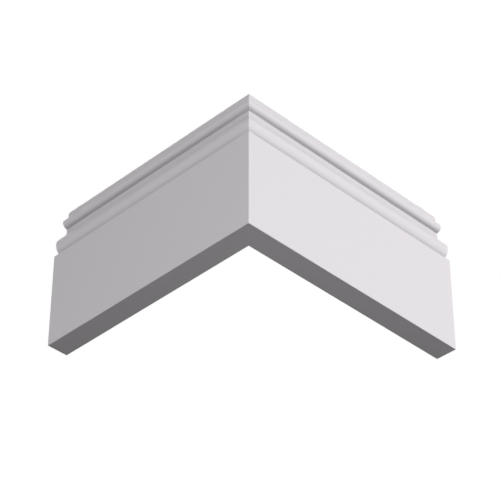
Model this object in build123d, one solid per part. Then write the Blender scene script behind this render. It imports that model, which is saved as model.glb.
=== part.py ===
from build123d import *
import math
import os

# An outside corner of moulded skirting board: two lengths of one section, mitred where they meet.
# Millimetres. The origin is the wall's outside corner at floor level, +Z is up, the wall fills
# the quarter where x is negative and y is positive, and the boards stand on z = 0.

# the two lengths, each measured along its plain face from its cut end to the long point of its mitre
LEFT_LENGTH = 229.3
RIGHT_LENGTH = 236.8

# the board; its plain face takes what the moulded members leave of the height
BOARD_HEIGHT = 147.0
BOARD_THICKNESS = 20.0
ARRIS_RADIUS = 0.3

# the moulded members from the bottom up; a depth is measured from the plain face towards the wall,
# and the soffit angle is how far the bead's flat underside rises towards the room, in degrees
QUIRK_DEPTH = 4.5
QUIRK_HEIGHT = 2.5
TORUS_RADIUS = 10.0
TORUS_SETBACK = 0.95
COVE_RADIUS = 13.0
GROUND_DEPTH = 11.25
GROUND_HEIGHT = 2.4
SOFFIT_ANGLE = 20.0
BEAD_RADIUS = 4.5
BEAD_SETBACK = 6.6
NOSE_DEPTH = 12.05
NOSE_HEIGHT = 6.05


def circle_height_at(depth, centre, radius):
    """How far above or below its centre a round member stands at a depth."""
    return math.sqrt(radius**2 - (depth - centre) ** 2)


def moulding_section():
    """The section, drawn as (depth from the plain face, height above the floor)."""
    round_over_radius = BOARD_THICKNESS - NOSE_DEPTH
    round_over_bottom = BOARD_HEIGHT - round_over_radius
    bead_depth = BEAD_SETBACK + BEAD_RADIUS
    bead_height = round_over_bottom - NOSE_HEIGHT - BEAD_RADIUS
    bead_end = bead_height + circle_height_at(NOSE_DEPTH, bead_depth, BEAD_RADIUS)

    # the soffit runs tangent into the bead and falls back to the ground
    soffit = math.radians(SOFFIT_ANGLE)
    soffit_end = (
        bead_depth - BEAD_RADIUS * math.sin(soffit),
        bead_height - BEAD_RADIUS * math.cos(soffit),
    )
    ground_top = soffit_end[1] - (GROUND_DEPTH - soffit_end[0]) * math.tan(soffit)

    # the cove runs tangent into the upright ground and touches the torus from outside
    cove_depth = GROUND_DEPTH - COVE_RADIUS
    cove_height = ground_top - GROUND_HEIGHT
    torus_depth = TORUS_SETBACK + TORUS_RADIUS
    reach = TORUS_RADIUS + COVE_RADIUS
    torus_height = cove_height - circle_height_at(cove_depth, torus_depth, reach)
    torus_start = torus_height - circle_height_at(QUIRK_DEPTH, torus_depth, TORUS_RADIUS)
    plain_top = torus_height - TORUS_RADIUS - QUIRK_HEIGHT
    share = TORUS_RADIUS / reach
    torus_end = (
        torus_depth + share * (cove_depth - torus_depth),
        torus_height + share * (cove_height - torus_height),
    )

    with BuildSketch(Plane.XY) as section:
        with BuildLine():
            plain = FilletPolyline(
                (BOARD_THICKNESS, 0),
                (0, 0),
                (0, plain_top),
                (QUIRK_DEPTH, plain_top),
                (QUIRK_DEPTH, torus_start),
                radius=ARRIS_RADIUS,
            )
            torus = ThreePointArc(plain @ 1, (TORUS_SETBACK, torus_height), torus_end)
            cove = TangentArc((GROUND_DEPTH, cove_height), torus @ 1, tangent=(0, -1))
            Line(cove @ 0, (GROUND_DEPTH, ground_top))
            Line((GROUND_DEPTH, ground_top), soffit_end)
            bead = ThreePointArc(soffit_end, (BEAD_SETBACK, bead_height), (NOSE_DEPTH, bead_end))
            nose = Line(bead @ 1, (NOSE_DEPTH, round_over_bottom))
            round_over = TangentArc(nose @ 1, (BOARD_THICKNESS, BOARD_HEIGHT), tangent=(0, 1))
            Line(round_over @ 1, plain @ 0)
        make_face()
    return section.sketch


def straight_length(section, start, end):
    """A length of the section along X, its back on the plane y = 0 and its plain face towards -Y."""
    cut = Plane(origin=(start, -BOARD_THICKNESS, 0), x_dir=(0, 1, 0), z_dir=(1, 0, 0))
    return extrude(cut * section, end - start)


section = moulding_section()

# The mitre is the upright plane through the wall's corner that halves the turn from one wall to the other.
mitre = Plane(origin=(0, 0, 0), z_dir=(1, 1, 0))

left_stock = straight_length(section, BOARD_THICKNESS - LEFT_LENGTH, BOARD_THICKNESS)
left_board = split(left_stock, bisect_by=mitre, keep=Keep.BOTTOM)

right_stock = straight_length(section, -BOARD_THICKNESS, RIGHT_LENGTH - BOARD_THICKNESS)
right_board = split(Rot(0, 0, 90) * right_stock, bisect_by=mitre, keep=Keep.TOP)

os.makedirs("parts", exist_ok=True)
for name, board in (("left_board", left_board), ("right_board", right_board)):
    export_step(board, f"parts/{name}.step")
    box = board.bounding_box()
    print(name, "volume", round(board.volume), "from", box.min, "to", box.max)
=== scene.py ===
import math

import bmesh
import bpy
from mathutils import Matrix, Vector


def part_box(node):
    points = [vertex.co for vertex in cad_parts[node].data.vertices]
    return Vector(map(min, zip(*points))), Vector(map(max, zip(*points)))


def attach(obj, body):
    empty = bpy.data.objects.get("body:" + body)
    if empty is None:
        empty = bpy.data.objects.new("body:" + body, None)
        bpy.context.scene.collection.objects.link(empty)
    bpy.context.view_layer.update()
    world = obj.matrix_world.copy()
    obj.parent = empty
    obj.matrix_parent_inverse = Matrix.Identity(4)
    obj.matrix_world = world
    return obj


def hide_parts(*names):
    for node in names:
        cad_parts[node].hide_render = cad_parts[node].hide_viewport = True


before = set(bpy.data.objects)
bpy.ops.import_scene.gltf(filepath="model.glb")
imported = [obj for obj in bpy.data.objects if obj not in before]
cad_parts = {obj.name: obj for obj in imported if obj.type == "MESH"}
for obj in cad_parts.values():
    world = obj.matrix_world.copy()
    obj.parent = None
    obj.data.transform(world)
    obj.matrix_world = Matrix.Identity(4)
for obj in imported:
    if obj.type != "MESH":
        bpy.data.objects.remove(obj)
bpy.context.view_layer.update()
mm = 0.001
wallCorner = Vector((0, 0, 0))
leftLow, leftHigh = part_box("left_board")
rightLow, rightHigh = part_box("right_board")
thickness = rightHigh.x - rightLow.x
boardHeight = leftHigh.z - leftLow.z
outsideCorner = Vector((thickness, -thickness, 0))
print("frame loaded:", ", ".join(sorted(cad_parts)))


# the camera, under the corner and looking up at it along the mitre

camera = {
    "lens": 145.66,
    "sensor": 36,            # both in millimetres
    "away": 1188.4 * mm,     # level distance from the outside corner
    "aside": 2.4 * mm,       # to the right of the mitre's plane
    "below": 917.2 * mm,     # under the floor line
    "azimuth": 45.065,       # this and the next two in degrees
    "pitchUp": 36.89,
    "roll": 0.054,
    "nearest": 0.05,         # how near and how far it sees, in metres
    "farthest": 50,
}
forward = Vector((-1, 1, 0)).normalized()    # level, from the photographer to the corner
rightward = Vector((1, 1, 0)).normalized()


def placeFromCorner(right, towardsCamera, up):
    return outsideCorner + rightward * right - forward * towardsCamera + Vector((0, 0, up))


cameraData = bpy.data.cameras.new("photoCamera")
cameraData.lens = camera["lens"]
cameraData.sensor_width = camera["sensor"]
cameraData.clip_start = camera["nearest"]
cameraData.clip_end = camera["farthest"]
photoCamera = bpy.data.objects.new("photoCamera", cameraData)
bpy.context.scene.collection.objects.link(photoCamera)
photoCamera.matrix_world = (
    Matrix.Translation(placeFromCorner(camera["aside"], camera["away"], -camera["below"]))
    @ Matrix.Rotation(math.radians(camera["azimuth"]), 4, "Z")
    @ Matrix.Rotation(math.radians(90 + camera["pitchUp"]), 4, "X")
    @ Matrix.Rotation(math.radians(camera["roll"]), 4, "Z")
)
bpy.context.scene.camera = photoCamera
print("camera placed")


# shader node helpers

def newMaterial(name):
    material = bpy.data.materials.new(name)
    material.use_nodes = True
    tree = material.node_tree
    tree.nodes.clear()
    output = tree.nodes.new("ShaderNodeOutputMaterial")
    output.location = (900, 0)
    return material, tree, output


def addNode(tree, kind, place, **settings):
    node = tree.nodes.new(kind)
    node.location = place
    for setting, value in settings.items():
        setattr(node, setting, value)
    return node


def addMath(tree, operation, place, first, second):
    node = addNode(tree, "ShaderNodeMath", place, operation=operation)
    for socket, value in zip(node.inputs, (first, second)):
        if isinstance(value, (int, float)):
            socket.default_value = value
        else:
            tree.links.new(value, socket)
    return node.outputs[0]


def groupSocket(group, name, inOut, kind, value=None):
    socket = group.interface.new_socket(name=name, in_out=inOut, socket_type=kind)
    if value is not None:
        socket.default_value = value


# Paint tooth: the fine orange peel of a sprayed primer, the faint lines that the former left along the
# length, and a slow cloud in the tone. Along stretches the lines, so each board gives its own direction.

paintPattern = {
    "peelDetail": 3,
    "peelRoughness": 0.55,
    "lineScale": 700.0,       # a scale is in cells a metre
    "lineDetail": 2,
    "lineShare": 0.4,         # how deep the lines are beside the peel
    "cloudScale": 14,
    "cloudDetail": 4,
}


def makePaintTooth():
    group = bpy.data.node_groups.new("paintTooth", "ShaderNodeTree")
    groupSocket(group, "Along", "INPUT", "NodeSocketVector", (1, 1, 1))
    groupSocket(group, "Peel Scale", "INPUT", "NodeSocketFloat")
    groupSocket(group, "Line Scale", "INPUT", "NodeSocketFloat", paintPattern["lineScale"])
    groupSocket(group, "Line Share", "INPUT", "NodeSocketFloat", paintPattern["lineShare"])
    groupSocket(group, "Height", "OUTPUT", "NodeSocketFloat")
    groupSocket(group, "Tone", "OUTPUT", "NodeSocketFloat")
    inputs = addNode(group, "NodeGroupInput", (-900, 0))
    outputs = addNode(group, "NodeGroupOutput", (700, 0))
    place = addNode(group, "ShaderNodeTexCoord", (-900, 300))

    peel = addNode(group, "ShaderNodeTexNoise", (-400, 300))
    peel.inputs["Detail"].default_value = paintPattern["peelDetail"]
    peel.inputs["Roughness"].default_value = paintPattern["peelRoughness"]
    group.links.new(place.outputs["Object"], peel.inputs["Vector"])
    group.links.new(inputs.outputs["Peel Scale"], peel.inputs["Scale"])

    squeeze = addNode(group, "ShaderNodeVectorMath", (-650, 0), operation="MULTIPLY")
    group.links.new(place.outputs["Object"], squeeze.inputs[0])
    group.links.new(inputs.outputs["Along"], squeeze.inputs[1])
    lines = addNode(group, "ShaderNodeTexNoise", (-400, 0))
    lines.inputs["Detail"].default_value = paintPattern["lineDetail"]
    group.links.new(squeeze.outputs[0], lines.inputs["Vector"])
    group.links.new(inputs.outputs["Line Scale"], lines.inputs["Scale"])
    lineHeight = addMath(group, "MULTIPLY", (-100, 0), lines.outputs["Fac"], inputs.outputs["Line Share"])
    height = addMath(group, "ADD", (200, 150), peel.outputs["Fac"], lineHeight)
    group.links.new(height, outputs.inputs["Height"])

    cloud = addNode(group, "ShaderNodeTexNoise", (-400, -300))
    cloud.inputs["Scale"].default_value = paintPattern["cloudScale"]
    cloud.inputs["Detail"].default_value = paintPattern["cloudDetail"]
    group.links.new(place.outputs["Object"], cloud.inputs["Vector"])
    group.links.new(cloud.outputs["Fac"], outputs.inputs["Tone"])
    return group


# Saw marks: the shallow arcs that a circular blade leaves on a cut end, broken up by the foam's own grain.

sawPattern = {
    "shift": (0.06, 0.06, 0.09),    # the blade's centre is at minus this
    "toothPitch": 900.0,
    "wander": 1.2,
    "arcDetail": 2,
    "grainScale": 2600.0,
    "grainDetail": 2,
    "grainShare": 0.5,              # how deep the grain is beside the arcs
}


def makeSawMarks():
    group = bpy.data.node_groups.new("sawMarks", "ShaderNodeTree")
    groupSocket(group, "Tooth Pitch", "INPUT", "NodeSocketFloat", sawPattern["toothPitch"])
    groupSocket(group, "Grain Scale", "INPUT", "NodeSocketFloat", sawPattern["grainScale"])
    groupSocket(group, "Grain Share", "INPUT", "NodeSocketFloat", sawPattern["grainShare"])
    groupSocket(group, "Height", "OUTPUT", "NodeSocketFloat")
    inputs = addNode(group, "NodeGroupInput", (-900, 0))
    outputs = addNode(group, "NodeGroupOutput", (700, 0))
    place = addNode(group, "ShaderNodeTexCoord", (-900, 300))
    bladeCentre = addNode(group, "ShaderNodeMapping", (-650, 300))
    bladeCentre.inputs["Location"].default_value = sawPattern["shift"]
    group.links.new(place.outputs["Object"], bladeCentre.inputs["Vector"])
    arcs = addNode(group, "ShaderNodeTexWave", (-400, 300), wave_type="RINGS", rings_direction="SPHERICAL")
    arcs.inputs["Distortion"].default_value = sawPattern["wander"]
    arcs.inputs["Detail"].default_value = sawPattern["arcDetail"]
    group.links.new(bladeCentre.outputs[0], arcs.inputs["Vector"])
    group.links.new(inputs.outputs["Tooth Pitch"], arcs.inputs["Scale"])
    grain = addNode(group, "ShaderNodeTexNoise", (-400, 0))
    grain.inputs["Detail"].default_value = sawPattern["grainDetail"]
    group.links.new(place.outputs["Object"], grain.inputs["Vector"])
    group.links.new(inputs.outputs["Grain Scale"], grain.inputs["Scale"])
    grainHeight = addMath(group, "MULTIPLY", (-100, 0), grain.outputs["Fac"], inputs.outputs["Grain Share"])
    height = addMath(group, "ADD", (200, 150), arcs.outputs["Fac"], grainHeight)
    group.links.new(height, outputs.inputs["Height"])
    return group


paintTooth = makePaintTooth()
sawMarks = makeSawMarks()

primer = {
    "white": (0.803, 0.773, 0.803),       # linear, as all colours here
    "cloudWhite": (0.793, 0.764, 0.793),  # where the cloud is darkest
    "roughness": 0.55,
    "roughnessSpread": 0.06,
    "specular": 0.12,
    "toothDepth": 0.012 * mm,
    "peelScale": 900.0,
    "squeeze": 0.006,         # how much the lines are stretched along the board
}
rawEnd = {
    "white": (0.785, 0.762, 0.752),
    "roughness": 0.85,
    "specular": 0.12,
    "markDepth": 0.03 * mm,
}
mouldedBack = {
    "white": (0.775, 0.752, 0.770),
    "cloudWhite": (0.745, 0.724, 0.742),
    "roughness": 0.7,
    "roughnessSpread": 0.05,
    "specular": 0.3,
    "toothDepth": 0.03 * mm,
    "peelScale": 420.0,
}


def makePainted(name, finish, along):
    material, tree, output = newMaterial(name)
    shader = addNode(tree, "ShaderNodeBsdfPrincipled", (550, 0))
    shader.inputs["Specular IOR Level"].default_value = finish["specular"]
    tooth = addNode(tree, "ShaderNodeGroup", (-300, 0), node_tree=paintTooth)
    tooth.inputs["Along"].default_value = along
    tooth.inputs["Peel Scale"].default_value = finish["peelScale"]
    tone = addNode(tree, "ShaderNodeMix", (200, 200), data_type="RGBA")
    colourSockets = [socket for socket in tone.inputs if socket.type == "RGBA"]
    for socket, white in zip(colourSockets, (finish["cloudWhite"], finish["white"])):
        socket.default_value = (*white, 1)
    tree.links.new(tooth.outputs["Tone"], tone.inputs["Factor"])
    tree.links.new(tone.outputs["Result"], shader.inputs["Base Color"])
    rough = addNode(tree, "ShaderNodeMapRange", (200, -50))
    rough.inputs["To Min"].default_value = finish["roughness"] - finish["roughnessSpread"]
    rough.inputs["To Max"].default_value = finish["roughness"] + finish["roughnessSpread"]
    tree.links.new(tooth.outputs["Tone"], rough.inputs["Value"])
    tree.links.new(rough.outputs[0], shader.inputs["Roughness"])
    bump = addNode(tree, "ShaderNodeBump", (200, -350))
    bump.inputs["Distance"].default_value = finish["toothDepth"]
    tree.links.new(tooth.outputs["Height"], bump.inputs["Height"])
    tree.links.new(bump.outputs["Normal"], shader.inputs["Normal"])
    tree.links.new(shader.outputs[0], output.inputs["Surface"])
    return material


def makeRawEnd():
    material, tree, output = newMaterial("rawSawnEnd")
    shader = addNode(tree, "ShaderNodeBsdfPrincipled", (550, 0))
    shader.inputs["Base Color"].default_value = (*rawEnd["white"], 1)
    shader.inputs["Roughness"].default_value = rawEnd["roughness"]
    shader.inputs["Specular IOR Level"].default_value = rawEnd["specular"]
    marks = addNode(tree, "ShaderNodeGroup", (-300, 0), node_tree=sawMarks)
    bump = addNode(tree, "ShaderNodeBump", (200, -350))
    bump.inputs["Distance"].default_value = rawEnd["markDepth"]
    tree.links.new(marks.outputs["Height"], bump.inputs["Height"])
    tree.links.new(bump.outputs["Normal"], shader.inputs["Normal"])
    tree.links.new(shader.outputs[0], output.inputs["Surface"])
    return material


alongX = (primer["squeeze"], 1, 1)
alongY = (1, primer["squeeze"], 1)
sawnEndMaterial = makeRawEnd()
print("finishes made")


# the boards

members = {                   # from the bottom up; a depth is measured from the plain face towards the wall
    "arrisRadius": 0.3 * mm,
    "quirkDepth": 4.5 * mm,
    "quirkHeight": 2.5 * mm,
    "torusRadius": 10.0 * mm,
    "torusSetback": 0.95 * mm,
    "coveRadius": 13.0 * mm,
    "groundDepth": 11.25 * mm,
    "groundHeight": 2.4 * mm,
    "soffitAngle": 20.0,      # degrees that the bead's underside rises towards the room
    "beadRadius": 4.5 * mm,
    "beadSetback": 6.6 * mm,
    "noseDepth": 12.05 * mm,
    "noseHeight": 6.05 * mm,
}
boardDetail = {
    "stepAngle": 3.0,          # degrees of a large arc that one facet spans
    "arrisSteps": 5,
    "weld": 0.0001 * mm,       # points of the outline that are nearer than this are one
    "sawAllowance": 5.0 * mm,  # stock beyond the mitre's long point, which the saw takes off
    "endEase": 0.2 * mm,       # the sawn ends' edges, eased with a rub of sandpaper
    "mitreEase": 0.05 * mm,    # the mitre stays crisp
    "easeSegments": 2,
    "facing": 0.99,            # cosine of the angle within which a face looks in a direction
    "smoothUnder": 30.0,       # degrees
    "flatWeight": 100,         # how much the flat faces count over their eased edges in the shading
}


def arcFrom(depth, height, radius, start, end, clockwise):
    # an arc of no radius is a plain corner
    turn = (end - start) % (2 * math.pi) if radius else 0
    if clockwise and radius:
        turn -= 2 * math.pi
    return {"depth": depth, "height": height, "radius": radius, "start": start, "turn": turn}


def sectionArcs():
    m = members
    roundRadius = thickness - m["noseDepth"]
    roundBottom = boardHeight - roundRadius
    beadDepth = m["beadSetback"] + m["beadRadius"]
    beadHeight = roundBottom - m["noseHeight"] - m["beadRadius"]
    beadEnd = math.acos((m["noseDepth"] - beadDepth) / m["beadRadius"])
    soffit = math.radians(m["soffitAngle"])
    soffitEnd = beadDepth - m["beadRadius"] * math.sin(soffit)
    soffitDrop = (m["groundDepth"] - soffitEnd) * math.tan(soffit)
    groundTop = beadHeight - m["beadRadius"] * math.cos(soffit) - soffitDrop
    coveDepth = m["groundDepth"] - m["coveRadius"]
    coveHeight = groundTop - m["groundHeight"]
    torusDepth = m["torusSetback"] + m["torusRadius"]
    reach = m["torusRadius"] + m["coveRadius"]
    torusHeight = coveHeight - math.sqrt(reach**2 - (coveDepth - torusDepth) ** 2)
    torusStart = -math.pi + math.acos((torusDepth - m["quirkDepth"]) / m["torusRadius"])
    towardsCove = math.atan2(coveHeight - torusHeight, coveDepth - torusDepth)
    plainTop = torusHeight - m["torusRadius"] - m["quirkHeight"]
    front, top, bottom, back = math.pi, math.pi / 2, -math.pi / 2, 0
    arris = m["arrisRadius"]
    return [
        arcFrom(arris, arris, arris, bottom, front, True),
        arcFrom(arris, plainTop - arris, arris, front, top, True),
        arcFrom(m["quirkDepth"] - arris, plainTop + arris, arris, bottom, back, False),
        arcFrom(torusDepth, torusHeight, m["torusRadius"], torusStart, towardsCove, True),
        arcFrom(coveDepth, coveHeight, m["coveRadius"], towardsCove - math.pi, back, False),
        arcFrom(m["groundDepth"], groundTop, 0, back, back, True),
        arcFrom(beadDepth, beadHeight, m["beadRadius"], bottom - soffit, beadEnd, True),
        arcFrom(thickness, roundBottom, roundRadius, front, top, True),
    ]


def drawSection(bm, alongStart):
    # the outline across a length that runs along X, one spun arc a member, joined by straight edges
    outline = []
    for arc in sectionArcs():
        centre = Vector((alongStart, arc["depth"] - thickness, arc["height"]))
        spoke = Vector((0, math.cos(arc["start"]), math.sin(arc["start"]))) * arc["radius"]
        first = last = bmesh.ops.create_vert(bm, co=centre + spoke)["vert"][0]
        if arc["turn"]:
            steps = boardDetail["arrisSteps"]
            if arc["radius"] > members["arrisRadius"]:
                steps = math.ceil(abs(math.degrees(arc["turn"])) / boardDetail["stepAngle"])
            spun = bmesh.ops.spin(
                bm, geom=[first], cent=centre, axis=(1, 0, 0), angle=arc["turn"], steps=steps,
                use_duplicate=False,
            )
            last = [piece for piece in spun["geom_last"] if isinstance(piece, bmesh.types.BMVert)][0]
        outline.append((first, last))
    foot = bmesh.ops.create_vert(bm, co=(alongStart, 0, 0))["vert"][0]
    outline.append((foot, foot))
    for (_, end), (start, _) in zip(outline, outline[1:] + outline[:1]):
        bm.edges.new((end, start))
    bmesh.ops.remove_doubles(bm, verts=bm.verts[:], dist=boardDetail["weld"])
    bmesh.ops.contextual_create(bm, geom=bm.edges[:])


def looksTo(face, direction):
    return face.normal.dot(direction) > boardDetail["facing"]


def easeCap(bm, direction, ease):
    # rounds the edges of the cap that looks in a direction; it has more corners than any facet beside it
    cap = max((face for face in bm.faces if looksTo(face, direction)), key=lambda face: len(face.verts))
    bmesh.ops.bevel(
        bm, geom=cap.edges[:], offset=ease, offset_type="OFFSET", segments=boardDetail["easeSegments"],
        profile=0.5, affect="EDGES", clamp_overlap=False, material=-1,
    )


def makeBoard(name, start, end, quarterTurn, mitreNormal, along):
    bm = bmesh.new()
    drawSection(bm, start)
    grown = bmesh.ops.extrude_face_region(bm, geom=bm.faces[:], use_keep_orig=True)
    moved = [piece for piece in grown["geom"] if isinstance(piece, bmesh.types.BMVert)]
    bmesh.ops.translate(bm, verts=moved, vec=(end - start, 0, 0))
    if quarterTurn:
        turn = Matrix.Rotation(math.pi / 2, 3, "Z")
        bmesh.ops.rotate(bm, verts=bm.verts[:], cent=wallCorner, matrix=turn)
    cut = bmesh.ops.bisect_plane(
        bm, geom=bm.verts[:] + bm.edges[:] + bm.faces[:], plane_co=wallCorner, plane_no=mitreNormal,
        clear_outer=True,
    )
    cutEdges = [piece for piece in cut["geom_cut"] if isinstance(piece, bmesh.types.BMEdge)]
    bmesh.ops.contextual_create(bm, geom=cutEdges)
    bmesh.ops.recalc_face_normals(bm, faces=bm.faces[:])
    bm.normal_update()
    endDirection = Vector((0, 1, 0)) if quarterTurn else Vector((-1, 0, 0))
    backDirection = Vector((-1, 0, 0)) if quarterTurn else Vector((0, 1, 0))
    for face in bm.faces:
        face.smooth = True
        if looksTo(face, endDirection) or looksTo(face, mitreNormal):
            face.material_index = 1
        if looksTo(face, backDirection):
            face.material_index = 2
    easeCap(bm, endDirection, boardDetail["endEase"])
    easeCap(bm, mitreNormal, boardDetail["mitreEase"])
    mesh = bpy.data.meshes.new(name)
    bm.to_mesh(mesh)
    bm.free()
    mesh.set_sharp_from_angle(angle=math.radians(boardDetail["smoothUnder"]))
    mesh.materials.append(makePainted("primedFace_" + name, primer, along))
    mesh.materials.append(sawnEndMaterial)
    mesh.materials.append(makePainted("mouldedBack_" + name, mouldedBack, (1, 1, 1)))
    board = bpy.data.objects.new(name, mesh)
    bpy.context.scene.collection.objects.link(board)
    shading = board.modifiers.new("flatFacesStayFlat", "WEIGHTED_NORMAL")
    shading.keep_sharp = True
    shading.weight = boardDetail["flatWeight"]
    print(name, "has", len(mesh.polygons), "faces")
    return board


mitreOut = Vector((1, 1, 0)).normalized()    # out of the left board's mitre face
allowance = boardDetail["sawAllowance"]
leftLength = makeBoard("left_length", leftLow.x, leftHigh.x + allowance, False, mitreOut, alongX)
rightLength = makeBoard("right_length", rightLow.y - allowance, rightHigh.y, True, -mitreOut, alongY)
for piece, node in ((leftLength, "left_board"), (rightLength, "right_board")):
    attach(piece, "root")
    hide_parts(node)


# the floor, a hair under the boards; it shows from above only, holds their shadow and fades out to white

floorSet = {
    "radius": 2.0,
    "segments": 96,
    "drop": 0.2 * mm,
    "colour": (0.86, 0.86, 0.865),
    "fadeFrom": 0.35,         # metres from the wall's corner, as is the next
    "fadeTo": 1.1,
    "lift": 0.42,             # how much of it is the studio's own white
}


def makeFloor():
    bm = bmesh.new()
    bmesh.ops.create_circle(bm, cap_ends=True, radius=floorSet["radius"], segments=floorSet["segments"])
    bmesh.ops.translate(bm, verts=bm.verts[:], vec=(0, 0, -floorSet["drop"]))
    mesh = bpy.data.meshes.new("paleFloor")
    bm.to_mesh(mesh)
    bm.free()
    material, tree, output = newMaterial("paleFloor")
    paint = addNode(tree, "ShaderNodeBsdfDiffuse", (200, 200))
    paint.inputs["Color"].default_value = (*floorSet["colour"], 1)
    glow = addNode(tree, "ShaderNodeEmission", (200, 50))
    lit = addNode(tree, "ShaderNodeMixShader", (400, 150))
    lit.inputs[0].default_value = floorSet["lift"]
    tree.links.new(paint.outputs[0], lit.inputs[1])
    tree.links.new(glow.outputs[0], lit.inputs[2])
    clear = addNode(tree, "ShaderNodeBsdfTransparent", (400, -50))
    rays = addNode(tree, "ShaderNodeLightPath", (-600, -100))
    geometry = addNode(tree, "ShaderNodeNewGeometry", (-600, -500))
    place = addNode(tree, "ShaderNodeTexCoord", (-900, 300))
    distance = addNode(tree, "ShaderNodeVectorMath", (-600, 300), operation="LENGTH")
    tree.links.new(place.outputs["Object"], distance.inputs[0])
    fade = addNode(tree, "ShaderNodeMapRange", (-350, 300), interpolation_type="SMOOTHSTEP")
    fade.inputs["From Min"].default_value = floorSet["fadeFrom"]
    fade.inputs["From Max"].default_value = floorSet["fadeTo"]
    fade.inputs["To Min"].default_value = 1
    fade.inputs["To Max"].default_value = 0
    tree.links.new(distance.outputs["Value"], fade.inputs["Value"])
    fromAbove = addMath(tree, "SUBTRACT", (-350, -500), 1.0, geometry.outputs["Backfacing"])
    cameraRay, glossyRay = rays.outputs["Is Camera Ray"], rays.outputs["Is Glossy Ray"]
    seen = addMath(tree, "MAXIMUM", (-350, -100), cameraRay, glossyRay)
    shown = addMath(tree, "MULTIPLY", (-100, -300), seen, fromAbove)
    factor = addMath(tree, "MULTIPLY", (100, -200), shown, fade.outputs[0])
    mix = addNode(tree, "ShaderNodeMixShader", (650, 0))
    tree.links.new(factor, mix.inputs[0])
    tree.links.new(clear.outputs[0], mix.inputs[1])
    tree.links.new(lit.outputs[0], mix.inputs[2])
    tree.links.new(mix.outputs[0], output.inputs["Surface"])
    mesh.materials.append(material)
    floor = bpy.data.objects.new("paleFloor", mesh)
    bpy.context.scene.collection.objects.link(floor)


makeFloor()
print("floor laid")


# the studio: soft boxes on the photographer's side, two behind for the backs and cut ends, white all round
# around and rise are degrees from the photographer's level line to the corner, to the right and up
# strength is how bright the primed face would be if the lamp stood square to it

lamps = [
    {"name": "leftSoftBox", "around": -35, "rise": -10, "away": 2.0, "size": 0.9, "strength": 0.30},
    {"name": "lowLeftFill", "around": -30, "rise": -30, "away": 2.0, "size": 0.9, "strength": 0.055},
    {"name": "frontSoftBox", "around": 35, "rise": -10, "away": 1.6, "size": 1.2, "strength": 0.42},
    {"name": "rightSoftBox", "around": 80, "rise": 5, "away": 1.6, "size": 1.2, "strength": 0.353},
    {"name": "leftFill", "around": -80, "rise": 0, "away": 1.6, "size": 1.0, "strength": 0.04},
    {"name": "highFill", "around": 90, "rise": 40, "away": 1.6, "size": 1.2, "strength": 0.065},
    {"name": "lowFill", "around": 30, "rise": -45, "away": 2.4, "size": 1.0, "strength": 0.031},
    {"name": "backLeftSoftBox", "around": -160, "rise": 28, "away": 1.1, "size": 0.8, "strength": 0.50},
    {"name": "backRightSoftBox", "around": 160, "rise": 32, "away": 1.1, "size": 0.8, "strength": 0.42},
]
studioSet = {
    "aimAbove": 50 * mm,      # the lamps look at the point this far over the foot of the outside corner
    "evenLight": (0.012, 0.012, 0.012),
    "white": (1, 1, 1),
}
lookedAt = outsideCorner + Vector((0, 0, studioSet["aimAbove"]))

for lamp in lamps:
    around, rise = math.radians(lamp["around"]), math.radians(lamp["rise"])
    level = rightward * math.sin(around) - forward * math.cos(around)
    lampData = bpy.data.lights.new(lamp["name"], "AREA")
    lampData.energy = lamp["strength"] * (math.pi * lamp["away"]) ** 2 / primer["white"][1]
    lampData.shape = "DISK"
    lampData.size = lamp["size"]
    softBox = bpy.data.objects.new(lamp["name"], lampData)
    softBox.location = lookedAt + lamp["away"] * (level * math.cos(rise) + Vector((0, 0, math.sin(rise))))
    softBox.rotation_euler = (lookedAt - softBox.location).to_track_quat("-Z", "Y").to_euler()
    softBox.visible_camera = False
    bpy.context.scene.collection.objects.link(softBox)


def makeWorld():
    world = bpy.data.worlds.new("whiteStudio")
    bpy.context.scene.world = world
    world.use_nodes = True
    tree = world.node_tree
    tree.nodes.clear()
    output = addNode(tree, "ShaderNodeOutputWorld", (600, 0))
    even = addNode(tree, "ShaderNodeBackground", (0, 100))
    even.inputs["Color"].default_value = (*studioSet["evenLight"], 1)
    white = addNode(tree, "ShaderNodeBackground", (0, -100))
    white.inputs["Color"].default_value = (*studioSet["white"], 1)
    rays = addNode(tree, "ShaderNodeLightPath", (-600, 300))
    cameraRay, glossyRay = rays.outputs["Is Camera Ray"], rays.outputs["Is Glossy Ray"]
    seen = addMath(tree, "MAXIMUM", (-350, 300), cameraRay, glossyRay)
    through = addMath(tree, "MAXIMUM", (-150, 300), seen, rays.outputs["Is Transmission Ray"])
    mix = addNode(tree, "ShaderNodeMixShader", (300, 0))
    tree.links.new(through, mix.inputs[0])
    tree.links.new(even.outputs[0], mix.inputs[1])
    tree.links.new(white.outputs[0], mix.inputs[2])
    tree.links.new(mix.outputs[0], output.inputs["Surface"])


makeWorld()
bpy.context.scene.view_settings.view_transform = "Standard"
# the white faces don't fill each other's recesses with bounced light
bpy.context.scene.cycles.diffuse_bounces = 0
print("studio lit")
